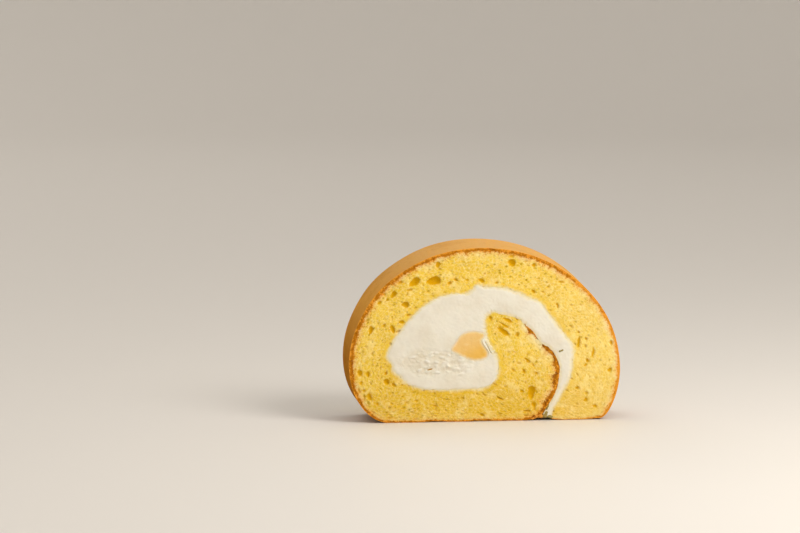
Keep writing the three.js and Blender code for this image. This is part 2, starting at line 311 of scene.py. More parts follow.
def lattice_noise(x, z, cell, seed):
    """Random heights on a square lattice, blended smoothly between its corners, about -1 to 1."""
    table = np.random.default_rng(seed).uniform(-1, 1, (TABLE, TABLE))
    i, j = np.floor(x / cell).astype(int), np.floor(z / cell).astype(int)
    u, v = x / cell - i, z / cell - j
    u, v = u * u * (3 - 2 * u), v * v * (3 - 2 * v)
    low = table[i % TABLE, j % TABLE] * (1 - u) + table[(i + 1) % TABLE, j % TABLE] * u
    high = table[i % TABLE, (j + 1) % TABLE] * (1 - u) + table[(i + 1) % TABLE, (j + 1) % TABLE] * u
    return low * (1 - v) + high * v


def turned(x, z, angle):
    """Coordinates along a direction at an angle from the +x side, in radians, and across it."""
    return x * np.cos(angle) + z * np.sin(angle), z * np.cos(angle) - x * np.sin(angle)


def scattered_pits(x, z, cell, share, smallest, largest, seed, stretch):
    """Depth of pits scattered one to a cell of a square lattice, where a random share of the cells
    has one: each is half an ellipsoid at a random place of its cell, stretched along x, and the
    deepest of the nine nearest counts. Sizes are radii, as shares of the cell."""
    table = np.random.default_rng(seed).random((TABLE, TABLE, 6))
    i, j = np.floor(x / cell).astype(int), np.floor(z / cell).astype(int)
    depth = np.zeros_like(x)
    for di in (-1, 0, 1):
        for dj in (-1, 0, 1):
            draw = table[(i + di) % TABLE, (j + dj) % TABLE]
            dx = x - (i + di + 0.15 + 0.7 * draw[..., 0]) * cell
            dz = z - (j + dj + 0.15 + 0.7 * draw[..., 1]) * cell
            radius = cell * (smallest + (largest - smallest) * draw[..., 3]**2)
            longer = radius * (1 + 0.6 * draw[..., 5]) * stretch
            along, across = turned(dx, dz, (draw[..., 2] - 0.5) * 1.2)
            hollow = radius * np.sqrt(np.maximum(0, 1 - (along / longer)**2 - (across / radius)**2))
            depth = np.maximum(depth, np.where(draw[..., 4] < share, hollow, 0))
    return depth


def listed_pits(x, z, pits, seed):
    """Depth of the listed bubbles: half eggs, wider at the end that the tilt points to, whose
    outlines are bent a little by noise. The depth is that of a bubble as deep as it is wide."""
    u, v = 0.8 * x + 0.6 * z, 0.8 * z - 0.6 * x
    x = x + 0.3 * lattice_noise(u, v, 2.3, seed) + 0.12 * lattice_noise(u, v, 0.9, seed + 2)
    z = z + 0.3 * lattice_noise(u, v, 2.3, seed + 1) + 0.12 * lattice_noise(u, v, 0.9, seed + 3)
    depth = np.zeros_like(x)
    for px, pz, width, height, tilt in pits:
        along, across = turned(x - px, z - pz, math.radians(tilt))
        along = along / (width / 2)
        across = across / (height / 2) / (1 + 0.35 * np.clip(along, -1, 1))
        inside = np.maximum(0, 1 - along**2 - across**2)
        depth = np.maximum(depth, min(width, height) * inside**0.55)
    return depth


def to_path(x, z, path):
    """How far places are from a path, and which of its points is nearest to each."""
    far = np.full(x.shape, np.inf)
    spot = np.zeros(x.shape, int)
    for number, (px, pz) in enumerate(path):
        step = np.hypot(x - px, z - pz)
        spot = np.where(step < far, number, spot)
        far = np.minimum(far, step)
    return far, spot


def back_bubbles(count=26, seed=7):
    """Bubbles of the back face: random sizes under random places of the loaf's arch."""
    rng = np.random.default_rng(seed)
    skin = skin_path()
    run = lengths(skin)
    normal = outward(skin)
    reached = np.linspace(30, 195, count) + rng.uniform(-2.5, 2.5, count)
    index = np.searchsorted(run, reached)
    spot = skin[index] - normal[index] * rng.uniform(3.5, 9, (count, 1))
    high = rng.uniform(1.4, 3.2, count)
    wide = high * rng.uniform(0.6, 1, count)
    return list(zip(spot[:, 0], spot[:, 1], wide, high, rng.uniform(-30, 30, count)))


# ---- Meshes ----

SHARP_ANGLE = 50  # degrees between faces, past which their edge is shaded sharp


def box_lattice(along, across, deep):
    """The outside of a block of cells: the three lattice indices of each vertex on it, and the
    four-cornered faces of its six sides, turned outwards if the directions are right-handed."""
    i, j, k = np.indices((along + 1, across + 1, deep + 1))
    shell = (i == 0) | (i == along) | (j == 0) | (j == across) | (k == 0) | (k == deep)
    ids = np.full(shell.shape, -1)
    ids[shell] = np.arange(shell.sum())

    def side(sheet, turned):
        quads = np.stack([sheet[:-1, :-1], sheet[1:, :-1], sheet[1:, 1:], sheet[:-1, 1:]], axis=-1)
        quads = quads.reshape(-1, 4)
        return quads[:, ::-1] if turned else quads

    faces = np.vstack([
        side(ids[:, :, 0], True), side(ids[:, :, -1], False),
        side(ids[:, 0, :], False), side(ids[:, -1, :], True),
        side(ids[0, :, :], True), side(ids[-1, :, :], False),
    ])
    return i[shell], j[shell], k[shell], faces


def depth_rows(count):
    """Shares of the slice's thickness, closer together near both faces."""
    return (1 - np.cos(np.linspace(0, np.pi, count + 1))) / 2


def near_face(back):
    """1 on both cut faces, falling steeply to 0 inside the slice."""
    return (2 * np.abs(back - 0.5))**8


def between_faces(x, z, back, stand):
    """Places on the section at a share of the thickness, standing out towards the nearer face by a
    height. The back face is a little larger than the front."""
    y = (back - 0.5) * THICKNESS + stand * np.sign(back - 0.5)
    return np.stack([x * (1 + FLARE_WIDE * back), y, z * (1 + FLARE_HIGH * back)], axis=1)


def add_object(name, data):
    """A new object in the scene, at the origin."""
    made = bpy.data.objects.new(name, data)
    bpy.context.scene.collection.objects.link(made)
    return made


def make_mesh(name, points, faces):
    """A closed mesh object from points in millimetres and faces. The faces are turned round if they
    enclose a negative volume, and shaded smooth but for their sharp edges."""
    corners = points[faces]
    spread = np.cross(corners[:, 2] - corners[:, 0], corners[:, 3] - corners[:, 1])
    if np.sum(corners.mean(axis=1) * spread) < 0:
        faces = faces[:, ::-1]
    mesh = bpy.data.meshes.new(name)
    mesh.from_pydata(((points - (MIDDLE_X, 0, 0)) * MM).tolist(), [], faces.tolist())
    mesh.shade_smooth()
    mesh.set_sharp_from_angle(angle=math.radians(SHARP_ANGLE))
    return add_object(name, mesh)


def set_attributes(piece, domain="POINT", **attributes):
    """Stores numbers, or vectors, for the vertices or faces of a piece, for its material to read."""
    for name, values in attributes.items():
        values = np.ascontiguousarray(values, dtype=np.float32)
        kind, field = ("FLOAT_VECTOR", "vector") if values.ndim == 2 else ("FLOAT", "value")
        piece.data.attributes.new(name, kind, domain).data.foreach_set(field, values.ravel())


def finish_piece(piece, node, material, replaced=True):
    """Gives a piece its material, hangs it from the root body, and lets it stand for a node, whose
    part is hidden, unless the piece only lies on it."""
    piece.data.materials.append(material)
    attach(piece, "root")
    if replaced:
        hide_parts(node)


def make_sponge(colours, sizes):
    """The sheet of sponge: a block whose length runs along the roll, whose width runs from the
    browned skin to the cream and whose depth runs from the front face to the back. Pits are pressed
    into both cut faces, flat along the sheet but upright in the curl, the skin rises and falls a
    little, and at the faces the crumb reaches under the edge of the cream."""
    along, across, deep = 860, 44, 10
    sheet_inside = tidy(np.vstack([smooth_path(SHEET_INSIDE, SIDE_STEPS), TORN_TIP]))
    skin, inner, run = ribbon(skin_path(), sheet_inside, SHEET_RIBS, along + 1)
    i, j, k, faces = box_lattice(along, across, deep)
    t = j / across
    back = depth_rows(deep)[k]
    swell = sizes.skin_swell / MM * waver(run, 34, 3, 2)[i] * (1 - t)
    grain = 0.04 * lattice_noise(run[i], back * THICKNESS, 0.9, 5) * (j == 0) * (k > 0) * (k < deep)
    place = skin[i] * (1 - t[:, None]) + inner[i] * t[:, None]
    place += outward(skin)[i] * (swell + grain)[:, None]
    place -= outward(inner)[i] * (CRUMB_REACH * near_face(back) * t**8)[:, None]
    x, z = place[:, 0], raised(*place.T, back)
    width = np.linalg.norm(inner - skin, axis=1)[i]
    below, above = t * width, (1 - t) * width
    # Cross-lines slant in the curl, so there the nearest place of its own browned side counts.
    turn = nearest(skin, SEAM_LEFT)
    curl = i > turn
    from_skin, spot = to_path(*place[curl].T, skin[turn:])
    below[curl] = np.minimum(below[curl], from_skin)
    beneath = i.copy()
    beneath[curl] = turn + spot
    lie = np.where(curl, z, run[i]), np.where(curl, x, below)
    front, front_bubble = crumb_relief(x, z, lie, above, BUBBLES + GASHES, sizes.bubble_depth, 11)
    rear, rear_bubble = crumb_relief(x, z, lie, above, back_bubbles(), sizes.bubble_depth, 47)
    sunk = np.where(k == 0, front, np.where(k == deep, rear, 0))
    place = between_faces(x, z, back, -sunk)
    depth, darkness = crust_line(skin, run)
    piece = make_mesh("sponge_roll", place, faces)
    set_attributes(
        piece, bubble=np.where(k == 0, front_bubble, np.where(k == deep, rear_bubble, 0)),
        below_crust=below, above_cream=above, crust_depth=(depth * sizes.crust_depth)[beneath],
        toasted=darkness[beneath], sheet=np.stack([*lie, place[:, 1]], axis=1) * MM
    )
    set_attributes(piece, "FACE", outside=np.all(j[faces] == 0, axis=1))
    finish_piece(piece, "sponge", sponge_material(colours))


def raised(x, z, back):
    """Heights near the underside, lifted off the floor where it stands hollow: most at the bottom
    and the front, and none from a few millimetres up."""
    spots, lift = np.transpose(UNDERSIDE)
    share = np.clip(1 - z / UNDERSIDE_REACH, 0, 1)**2 * (1 - 0.5 * back)
    return np.maximum(z, 0) + np.interp(x, spots, lift) * share


def crust_line(skin, run):
    """How deep the brown goes into the crumb along the sheet, uneven everywhere, and how dark it is."""
    reached = run[[nearest(skin, place[:2]) for place in CRUST_LINE]]
    depth, darkness = (np.interp(run, reached, column) for column in np.transpose(CRUST_LINE)[2:])
    ragged = (0.2 + 0.1 * darkness) * waver(run, 5, 21) + 0.1 * waver(run, 1.6, 22)
    return depth * np.clip(1 + ragged, 0.4, 1.8), darkness


def crumb_relief(x, z, lie, above, bubbles, bubble_depth, seed):
    """How far the cut face lies under its plane, and a mask of its bubbles: listed bubbles, and
    pores of two sizes drawn out along the first of the lie's coordinates, thinned out in smoother
    patches and beside the cream, on fine roughness and low swells."""
    listed = bubble_depth * listed_pits(x, z, bubbles, seed)
    medium = scattered_pits(
        *lie, cell=3.3, share=0.5, smallest=0.08, largest=0.2, seed=seed + 2, stretch=1.3
    )
    porous = np.clip(0.85 + 0.6 * lattice_noise(x, z, 8, seed + 7), 0.2, 1) * np.clip(above / 2, 0.2, 1)
    porous = porous * np.interp(x, (-25, 20), (1, 0.5))
    fine = porous * scattered_pits(
        *lie, cell=1.15, share=0.8, smallest=0.15, largest=0.34, seed=seed + 3, stretch=1.35
    )
    rough = 0.04 * lattice_noise(x, z, 0.9, seed + 5) + 0.1 * lattice_noise(x, z, 5, seed + 6)
    depth = np.maximum(np.maximum(listed, medium), fine) + rough + 0.14
    return depth, np.clip(np.maximum(listed / 0.3, medium / 0.55), 0, 1)


def make_cream(colours, sizes):
    """The cream between the turns: a block whose length runs from the seam round to the end of the
    space, whose width runs from the outer turn to the curl. Its faces stand a little proud and sink
    into the crumb at the rim. The custard's shape and a thin crack beside it are cut out of it."""
    along, across, deep = 520, 84, 8
    wall = smooth_path(SHEET_INSIDE, SIDE_STEPS)
    outer = wall[:nearest(wall, CREAM_RIBS[-1][0]) + 1]
    curl = np.vstack([smooth_path(CURL_SKIN, SIDE_STEPS)[::-1], TORN_TIP[::-1], wall[::-1]])
    curl = curl[:len(curl) - nearest(wall, CREAM_RIBS[-1][1])]
    outer, inner, run = ribbon(tidy(outer), tidy(curl), CREAM_RIBS, along + 1)
    i, j, k, faces = box_lattice(along, across, deep)
    v = j / across
    back = depth_rows(deep)[k]
    # 1 along the browned side of the curl, and down to 0 where its torn tip starts.
    on_skin = np.clip((nearest(inner, CURL_SKIN[0]) - 2 - i) / 6, 0, 1)
    curl_waver = EDGE_WAVER + (EDGE_WAVER_SKIN - EDGE_WAVER) * on_skin
    over_outer = near_face(back) * (LAYER_GAP + EDGE_WAVER * waver(run, 3.4, 31)[i]) - LAYER_GAP
    over_curl = near_face(back) * (LAYER_GAP + curl_waver * waver(run, 3.4, 32)[i]) - LAYER_GAP
    a = outer[i] + outward(outer)[i] * over_outer[:, None]
    b = inner[i] - outward(inner)[i] * over_curl[:, None]
    place = a * (1 - v[:, None]) + b * v[:, None]
    rim = np.minimum(v, 1 - v) * np.linalg.norm(outer - inner, axis=1)[i]
    height = (sizes.cream_stand / MM + cream_height(*place.T, rim)) * ((k == 0) | (k == deep))
    piece = make_mesh("whipped_cream", between_faces(*place.T, back, height), faces)
    set_attributes(piece, rim=rim)
    cut_out(piece, custard_block(CUTTER_REACH, 0))
    cut_out(piece, crack_block())
    x, y, z = vertex_places(piece).T
    set_attributes(
        piece, rough_patch=rough_patch(x, z), stand=np.abs(y) - THICKNESS / 2,
        from_custard=from_custard(x, z)
    )
    finish_piece(piece, "cream", cream_material(colours))


def crack_block():
    """A thin wedge along the crack, sharp inside the slice and at both of its ends."""
    steps = 16
    i, j, k, faces = box_lattice(steps, 2, 2)
    path = smooth_path(CRACK, 8)
    path = at_length(path, np.linspace(0, lengths(path)[-1], steps + 1))
    share = i / steps
    uneven = np.sin(np.pi * share)**0.5 * (0.75 + 0.35 * np.sin(share * 19))
    half = CRACK_HALF * uneven * (1 - 0.45 * k) + 0.01
    x, z = (path[i] + outward(path)[i] * (half * (j - 1))[:, None]).T
    y = -0.5 * THICKNESS - CUTTER_REACH + (CUTTER_REACH + CRACK_DEPTH) * k / 2
    return make_mesh("crack", np.stack([x, y, z], axis=1), faces)


def rough_patch(x, z):
    """Where the knife dragged the cream: 1 inside an oval low on the left, fading over its edge."""
    q = ((x + 18) / 13.5)**2 + ((z - 22) / 5)**2
    return np.clip(1.5 - 1.1 * q + 0.4 * lattice_noise(x, z, 3, 61), 0, 1)


def cream_height(x, z, rim):
    """How far the cream's face rises and falls: soft swells, a rim that sinks to the crumb, round
    lumps in the rough patch, and the two ridges beside the crack."""
    swell = 0.08 * lattice_noise(x, z, 9, 41) + 0.05 * lattice_noise(x, z, 2.4, 42)
    torn = rough_patch(x, z)
    lumps = 0.14 * lattice_noise(0.8 * x - 0.3 * z, z + 0.2 * x, 1.5, 43) - 0.16
    lumps = lumps + 0.1 * lattice_noise(x - 0.4 * z, z + 0.4 * x, 0.8, 46)
    lumps = lumps + 0.65 * scattered_pits(
        x, z, cell=1.8, share=0.75, smallest=0.16, largest=0.4, seed=44, stretch=1.3
    )
    fine = 0.03 * lattice_noise(x, z, 0.7, 45)
    edge = -RIM_SINK * np.exp(-(rim / 0.9)**2)
    ridge = np.zeros_like(x)
    for path in RIDGES:
        share = np.linspace(0, 1, 8 * len(path) - 7)
        for (px, pz), high in zip(smooth_path(path, 8), RIDGE_HEIGHT * np.sin(np.pi * share)**0.7):
            ridge = np.maximum(ridge, high * np.exp(-((x - px)**2 + (z - pz)**2) / RIDGE_HALF**2))
    return swell + torn * lumps + fine + edge + ridge


def cut_out(piece, block):
    """Cuts a block out of a piece and removes the block."""
    cutter = piece.modifiers.new("cut", "BOOLEAN")
    cutter.operation = "DIFFERENCE"
    cutter.solver = "MANIFOLD"
    cutter.object = block
    graph = bpy.context.evaluated_depsgraph_get()
    made = bpy.data.meshes.new_from_object(piece.evaluated_get(graph))
    piece.modifiers.remove(cutter)
    old = piece.data
    piece.data = made
    bpy.data.meshes.remove(old)
    made.name = piece.name
    made.materials.clear()
    bpy.data.objects.remove(block)


def vertex_places(piece):
    """The vertices of a piece, in millimetres from the roll's axis."""
    co = np.zeros(len(piece.data.vertices) * 3, np.float32)
    piece.data.vertices.foreach_get("co", co)
    return co.reshape(-1, 3) / MM + (MIDDLE_X, 0, 0)


def custard_block(reach, grow):
    """The custard's core as a block: a square of cells bent into a disc, each ring of it drawn out
    to the core's outline, carried from face to face. It runs past both faces by a reach."""
    cells, deep = 40, 8
    i, j, k, faces = box_lattice(cells, cells, deep)
    u, v = 2 * i / cells - 1, 2 * j / cells - 1
    disc_x, disc_z = u * np.sqrt(1 - v * v / 2), v * np.sqrt(1 - u * u / 2)
    outline = smooth_path(CUSTARD, SIDE_STEPS, closed=True)
    centre = outline.mean(axis=0)
    arm = outline - centre
    angle = np.arctan2(arm[:, 1], arm[:, 0])
    order = np.argsort(angle)
    reaches = np.linalg.norm(arm, axis=1)[order]
    far = np.interp(np.arctan2(disc_z, disc_x), angle[order], reaches, period=2 * np.pi)
    x, z = centre[0] + disc_x * (far + grow), centre[1] + disc_z * (far + grow)
    back = depth_rows(deep)[k]
    ring = np.hypot(disc_x, disc_z)
    on_face = (k == 0) | (k == deep)
    dome = 0.1 - 0.08 * ring**6 + 0.06 * lattice_noise(x, z, 3, 51) + 0.03 * lattice_noise(x, z, 1.1, 52)
    height = np.where(on_face, reach if reach else dome, 0)
    return make_mesh("custard_core", between_faces(x, z, back, height), faces)


def from_custard(x, z):
    """How far places are from the custard's outline."""
    return to_path(x, z, smooth_path(CUSTARD, 8, closed=True))[0]


def make_custard(colours):
    """The core of custard, which runs through the slice."""
    piece = custard_block(0, 0.1)
    x, _, z = vertex_places(piece).T
    set_attributes(piece, rim=from_custard(x, z))
    finish_piece(piece, "custard", custard_material(colours))


def make_crumbs(colours):
    """Loose crumbs on the front face."""
    finish_piece(loose_crumbs(), "sponge", crumb_material(colours), replaced=False)


def tube_wall(rows, sides):
    """A tube's points numbered ring after ring, each with the one beside it, and its faces."""
    ids = np.arange(rows * sides).reshape(rows, sides)
    after = np.roll(ids, -1, axis=1)
    return ids, after, np.stack([ids[:-1], ids[1:], after[1:], after[:-1]], axis=-1).reshape(-1, 4)


def closed_tube(points, rows, sides):
    """Points of a tube, ring after ring, with a middle point added at each end, and the faces."""
    ids, after, wall = tube_wall(rows, sides)
    rings = points.reshape(rows, sides, 3)
    points = np.vstack([points, rings[0].mean(axis=0), rings[-1].mean(axis=0)])
    half = np.arange(0, sides, 2)
    first = np.full(len(half), rows * sides)
    one, two, three = ids[:, half], after[:, half], after[:, half + 1 - sides]
    start = np.stack([first, one[0], two[0], three[0]], axis=-1)
    end = np.stack([first + 1, three[-1], two[-1], one[-1]], axis=-1)
    return points, np.vstack([wall, start, end])


def loose_crumbs():
    """Lumps like squeezed balls: a sphere of rings whose radius wavers, scaled and turned, one for
    each listed crumb."""
    rings, sides = 12, 16
    polar = np.linspace(0, np.pi, rings + 1)[1:-1]
    angle = np.linspace(0, 2 * np.pi, sides, endpoint=False)
    ball = np.stack([
        np.outer(np.sin(polar), np.cos(angle)),
        np.outer(np.sin(polar), np.sin(angle)),
        np.outer(np.cos(polar), np.ones(sides)),
    ], axis=-1).reshape(-1, 3)
    points, faces, brown = [], [], []
    for number, (x, z, stand, width, height, tilt, tint) in enumerate(CRUMBS):
        lump = ball * (1 + 0.18 * waver(ball @ np.array([3.1, 2.3, 4.7]), 3, 80 + number))[:, None]
        lump = lump * (width / 2, 0.35 * min(width, height), height / 2)
        sideways, up = turned(lump[:, 0], lump[:, 2], -math.radians(tilt))
        y = lump[:, 1] - THICKNESS / 2 - stand
        lump = np.stack([x + sideways, y, np.maximum(z + up, 0.02)], axis=1)
        lump, shell = closed_tube(lump, rings - 1, sides)
        faces.append(shell + sum(map(len, points)))
        points.append(lump)
        brown.append(np.full(len(lump), tint))
    piece = make_mesh("loose_crumbs", np.vstack(points), np.vstack(faces))
    set_attributes(piece, brown=np.concatenate(brown))
    return piece


# ---- Materials ----

# Coordinates are in metres and the scales of patterns count their cells to the metre, while the
# attributes below_crust, above_cream, crust_depth, rim, stand and from_custard are in millimetres.


class Wiring:
    """Adds nodes to a node tree and joins their sockets."""

    def __init__(self, tree):
        self.tree = tree

    def join(self, node, inputs):
        """Fills a node's inputs: each is a value, a colour, or a socket to join to it."""
        for name, value in inputs.items():
            if isinstance(value, bpy.types.NodeSocket):
                self.tree.links.new(value, node.inputs[name])
            elif isinstance(value, Color):
                node.inputs[name].default_value = (*value, 1)
            else:
                node.inputs[name].default_value = value

    def add(self, kind, inputs=None, **settings):
        """A node with the given settings and inputs."""
        node = self.tree.nodes.new(kind)
        for name, value in settings.items():
            setattr(node, name, value)
        self.join(node, inputs or {})
        return node

    def maths(self, operation, a, b=0, c=0, clamp=False):
        inputs = {0: a, 1: b, 2: c}
        return self.add("ShaderNodeMath", inputs, operation=operation, use_clamp=clamp).outputs[0]

    def times(self, a, b, plus=0):
        """The product of two values, plus a third."""
        return self.maths("MULTIPLY_ADD", a, b, plus)

    def mix(self, factor, a, b):
        """The first colour, blended by a factor with the second."""
        return self.add("ShaderNodeMix", {0: factor, 6: a, 7: b}, data_type="RGBA").outputs[2]

    def layered(self, colour, *layers):
        """A colour with others laid over it one after another, each through its mask."""
        for mask, over in layers:
            colour = self.mix(mask, colour, over)
        return colour

    def ramp(self, value, low, high, to_low=0, to_high=1):
        """The value moved from one range to another along an S-shaped curve."""
        inputs = {"Value": value, "From Min": low, "From Max": high, "To Min": to_low, "To Max": to_high}
        return self.add("ShaderNodeMapRange", inputs, interpolation_type="SMOOTHSTEP").outputs["Result"]

    def noise(self, where, scale, detail, rough=0.5):
        inputs = {"Vector": where, "Scale": scale, "Detail": detail, "Roughness": rough}
        return self.add("ShaderNodeTexNoise", inputs).outputs["Fac"]

    def stretched(self, where, scale):
        """The coordinates multiplied by a scale along each axis."""
        inputs = {0: where, 1: scale}
        return self.add("ShaderNodeVectorMath", inputs, operation="MULTIPLY").outputs[0]

    def bent(self, where, scale, reach):
        """The coordinates moved up to a reach along each axis, by noise of a scale."""
        bend = self.add("ShaderNodeTexNoise", {"Vector": where, "Scale": scale}).outputs["Color"]
        bend = self.stretched(bend, (reach, reach, reach))
        return self.add("ShaderNodeVectorMath", {0: where, 1: bend}, operation="ADD").outputs[0]

    def pore_walls(self, where, scale, along):
        """Distances to the walls in a pattern of cells drawn out along the first axis."""
        bent = self.bent(where, 500, 0.0012)
        inputs = {"Vector": self.stretched(bent, (along, 1, 1)), "Scale": scale}
        return self.add("ShaderNodeTexVoronoi", inputs, feature="DISTANCE_TO_EDGE").outputs["Distance"]

    def dots(self, where, scale, core, edge, share, along=1):
        """Soft dots from the shared group, drawn out along the first axis where along is below 1."""
        where = self.stretched(where, (along, 1, 1))
        inputs = {"Vector": where, "Scale": scale, "Core": core, "Edge": edge, "Share": share}
        return self.group("Scattered dots", inputs, "Mask", dots_mask)

    def grain(self, where, scale, rough=0.6):
        """Fine uneven grain from the shared group, about -1 to 1."""
        inputs = {"Vector": where, "Scale": scale, "Roughness": rough}
        return self.group("Fine grain", inputs, "Height", grain_height)

    def group(self, name, inputs, output, fill):
        """The output of a shared node group that is placed with its own inputs. The group is made
        the first time it is asked for, and a function wires its output from its inputs."""
        tree = bpy.data.node_groups.get(name)
        if tree is None:
            tree = bpy.data.node_groups.new(name, "ShaderNodeTree")
            for label in inputs:
                kind = "NodeSocketVector" if label == "Vector" else "NodeSocketFloat"
                tree.interface.new_socket(label, in_out="INPUT", socket_type=kind)
            tree.interface.new_socket(output, in_out="OUTPUT", socket_type="NodeSocketFloat")
            w = Wiring(tree)
            result = fill(w, w.add("NodeGroupInput").outputs)
            w.add("NodeGroupOutput", {output: result})
        return self.add("ShaderNodeGroup", inputs, node_tree=tree).outputs[output]

    def attribute(self, name, output="Fac"):
        return self.add("ShaderNodeAttribute", attribute_name=name).outputs[output]

    def axes(self, where):
        return self.add("ShaderNodeSeparateXYZ", {0: where}).outputs

    def bump(self, height, distance, strength):
        inputs = {"Height": height, "Distance": distance, "Strength": strength}
        return self.add("ShaderNodeBump", inputs).outputs["Normal"]


def dots_mask(w, given):
    """Soft dots scattered one to a cell: 1 up to the core's radius and 0 past the edge's, both as
    shares of a cell, in a random share of the cells."""
    inputs = {"Vector": w.bent(given["Vector"], 700, 0.0008), "Scale": given["Scale"]}
    cells = w.add("ShaderNodeTexVoronoi", inputs, feature="F1").outputs
    chosen = w.add("ShaderNodeSeparateColor", {0: cells["Color"]}).outputs[0]
    dot = w.ramp(cells["Distance"], given["Core"], given["Edge"], 1, 0)
    missing = w.maths("SUBTRACT", 1, given["Share"])
    return w.times(dot, w.ramp(chosen, missing, w.maths("ADD", missing, 0.15)))


def grain_height(w, given):
    """Noise of four octaves, moved to about -1 to 1."""
    return w.times(w.noise(given["Vector"], given["Scale"], 3, given["Roughness"]), 2, -1)


def new_material(name, **values):
    """A material with only a Principled surface, its inputs set by name with underscores for
    spaces, the wiring to add to it and the places on the piece."""
    material = bpy.data.materials.new(name)
    material.use_nodes = True
    material.node_tree.nodes.clear()
    wiring = Wiring(material.node_tree)
    inputs = {label.replace("_", " "): value for label, value in values.items()}
    surface = wiring.add("ShaderNodeBsdfPrincipled", inputs)
    wiring.add("ShaderNodeOutputMaterial", {0: surface.outputs[0]})
    where = wiring.add("ShaderNodeTexCoord").outputs["Object"]
    return material, wiring, surface, where


def sponge_material(colours):
    """Crumb with a browned edge on the cut faces, and browned skin outside."""
    material, w, surface, where = new_material(
        "Sponge", Roughness=0.9, Subsurface_Weight=0.15, Subsurface_Radius=(1, 0.5, 0.12),
        Subsurface_Scale=0.0012, Specular_IOR_Level=0.03
    )
    sheet = w.attribute("sheet", "Vector")
    outside = w.attribute("outside")
    patchy = w.grain(where, 700, 0.65)
    crumb, rough = crumb_layers(w, colours, where, sheet)
    baked, smooth = skin_layers(w, colours, where, sheet, patchy)
    colour = w.mix(outside, browned_edge(w, colours, where, crumb, patchy), baked)
    rough, smooth = w.bump(rough, 0.00014, 0.8), w.bump(smooth, 0.00008, 0.6)
    normal = w.add("ShaderNodeMix", {0: outside, 4: rough, 5: smooth}, data_type="VECTOR")
    w.join(surface, {"Base Color": colour, "Normal": normal.outputs[1]})
    return material


def crumb_layers(w, colours, where, sheet):
    """The crumb's colour and the heights of its bumps. It is pale under the skin and beside the
    cream, deeper yellow in patches and darker low down as painted shade, paler on the right as
    painted light, and full of fine pores that lie flat along the sheet, with painted shade in the
    pores and the opened bubbles."""
    sideways, _, height = w.axes(where)
    below = w.attribute("below_crust")
    beside = w.attribute("above_cream")
    # Painted shade: deeper yellow in random patches, and darker towards the bottom of the face, where less
    # light falls.
    deep_and_low_shade = w.ramp(w.noise(where, 90, 3), 0.4, 0.65, 0, 0.5)
    deep_and_low_shade = w.maths("ADD", w.ramp(height, 0.003, 0.028, 0.8, 0), deep_and_low_shade, clamp=True)
    airy = w.ramp(w.noise(where, 330, 2), 0.5, 0.75, 0, 0.5)
    rim = w.ramp(w.times(w.noise(where, 230, 3, 0.6), 7, below), 2.6, 7.4, 0.85, 0)
    rim = w.times(rim, w.ramp(height, 0.002, 0.012, 0.3, 1))
    # Painted light: the right side, which faces the light, is paler and its pores are fainter.
    lit_side = w.ramp(sideways, 0.012, 0.04)
    open_crumb = w.ramp(beside, 0.6, 3)

    wall = w.ramp(w.pore_walls(sheet, 900, 0.8), 0.02, 0.14, 0.35, 0)
    grain = w.grain(where, 900, 0.65)
    light = w.maths("ADD", wall, w.ramp(grain, 0, 0.5, 0, 0.6), clamp=True)
    light = w.times(light, w.ramp(height, 0.004, 0.02, 0.7, 1))
    # Painted shade: dark dots stand for the shade inside the fine pores.
    dark = w.dots(sheet, 560, core=0.08, edge=0.34, share=0.4, along=0.8)
    fine = w.times(w.dots(sheet, 950, core=0.12, edge=0.38, share=0.5, along=0.8), 0.6)
    coarse = w.dots(sheet, 400, core=0.08, edge=0.36, share=0.45, along=0.8)
    coarse = w.times(coarse, w.ramp(below, 3.5, 7, 1, 0))
    coarse = w.times(coarse, w.ramp(sideways, -0.04, -0.02, 1, 0))
    dark = w.maths("MAXIMUM", w.maths("MAXIMUM", dark, fine), coarse)
    dark = w.times(dark, w.times(open_crumb, 0.7, 0.3))
    dark = w.times(dark, w.times(lit_side, -0.4, 0.9))
    ragged = w.times(w.noise(where, 700, 4, 0.7), 2.4, beside)
    ragged = w.times(w.noise(where, 200, 2), 1.6, ragged)

    crumb = w.layered(
        colours.crumb, (deep_and_low_shade, colours.crumb_deep_and_shade), (airy, colours.crumb_light),
        (rim, colours.crumb_pale), (w.times(lit_side, 0.22), colours.crumb_light),
        (w.times(light, open_crumb), colours.crumb_light), (dark, colours.pore_shade),
        # Painted shade: the opened bubbles are darker and deeper yellow inside, as shade and bounced light
        # make them.
        (w.times(w.attribute("bubble"), 0.97), colours.bubble),
        (w.ramp(ragged, 1.5, 3.3, 0.9, 0), colours.cream_edge)
    )
    return crumb, w.maths("SUBTRACT", w.times(wall, 0.7, w.times(grain, 0.3)), dark)


def browned_edge(w, colours, where, crumb, patchy):
    """The crumb with the skin's brown soaked unevenly into it, darkest in patches about the middle
    of its depth, and loose dots further in."""
    toasted = w.attribute("toasted")
    share = w.maths("DIVIDE", w.attribute("below_crust"), w.attribute("crust_depth"))
    uneven = w.times(w.grain(where, 2000), 0.7, share)
    halo = w.dots(where, 1350, core=0.2, edge=0.5, share=0.7)
    halo = w.times(halo, w.ramp(share, 0.9, 3.2, 0.9, 0))
    off_middle = w.maths("ABSOLUTE", w.maths("SUBTRACT", uneven, 0.65))
    reach = w.maths("SUBTRACT", w.times(toasted, 1.1, -0.2), off_middle)
    reach = w.times(patchy, w.times(toasted, 2.8, 0.3), reach)
    line = w.layered(
        colours.crust_line, (w.ramp(reach, -0.3, 0.5), colours.crust_dark),
        (w.ramp(reach, 0.7, 1.5), colours.crust_burnt)
    )
    return w.layered(
        crumb, (w.ramp(uneven, 0.9, 2.4, 0.4, 0), colours.crust_line), (halo, colours.crust_dots),
        (w.ramp(uneven, 0.75, 1.35, 1, 0), line)
    )


